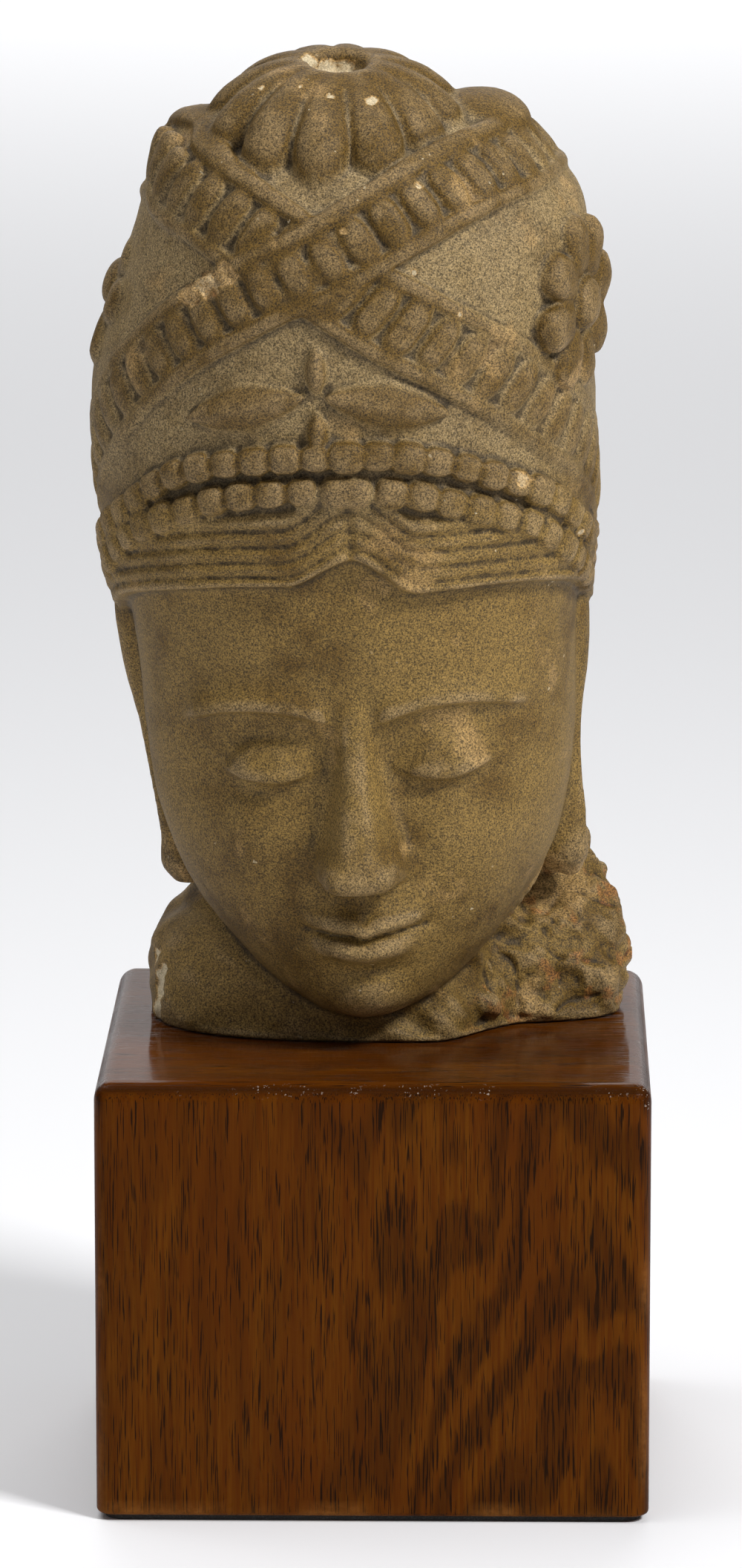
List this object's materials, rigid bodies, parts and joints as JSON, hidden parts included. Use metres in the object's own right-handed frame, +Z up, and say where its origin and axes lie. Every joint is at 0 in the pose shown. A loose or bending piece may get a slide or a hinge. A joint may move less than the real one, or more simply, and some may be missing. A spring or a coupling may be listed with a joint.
{
  "type": "carved stone female head on a wood plinth",
  "caption": "Carved sandstone female head with a tall banded coiffure and lobed bun, broken at the neck, on a square hardwood block with a felt sole.",
  "frame": {"origin": "middle of the underside, under the plinth's centre", "axes": "+Z up, -Y to the front that the face looks to, +X to the viewer's right"},
  "size_m": [0.1377, 0.138, 0.3566],
  "materials": {
    "stone": "fine brown sandstone, rubbed, with pale dust in the recesses, ochre patches and pale fresh chips",
    "wood": "varnished red-brown hardwood with upright grain and dark pores, edges rubbed pale",
    "felt": "dark matt felt"
  },
  "bodies": {
    "root": {"stone_head": "stone", "wood_plinth": "wood", "felt_sole": "felt"}
  },
  "joints": []
}
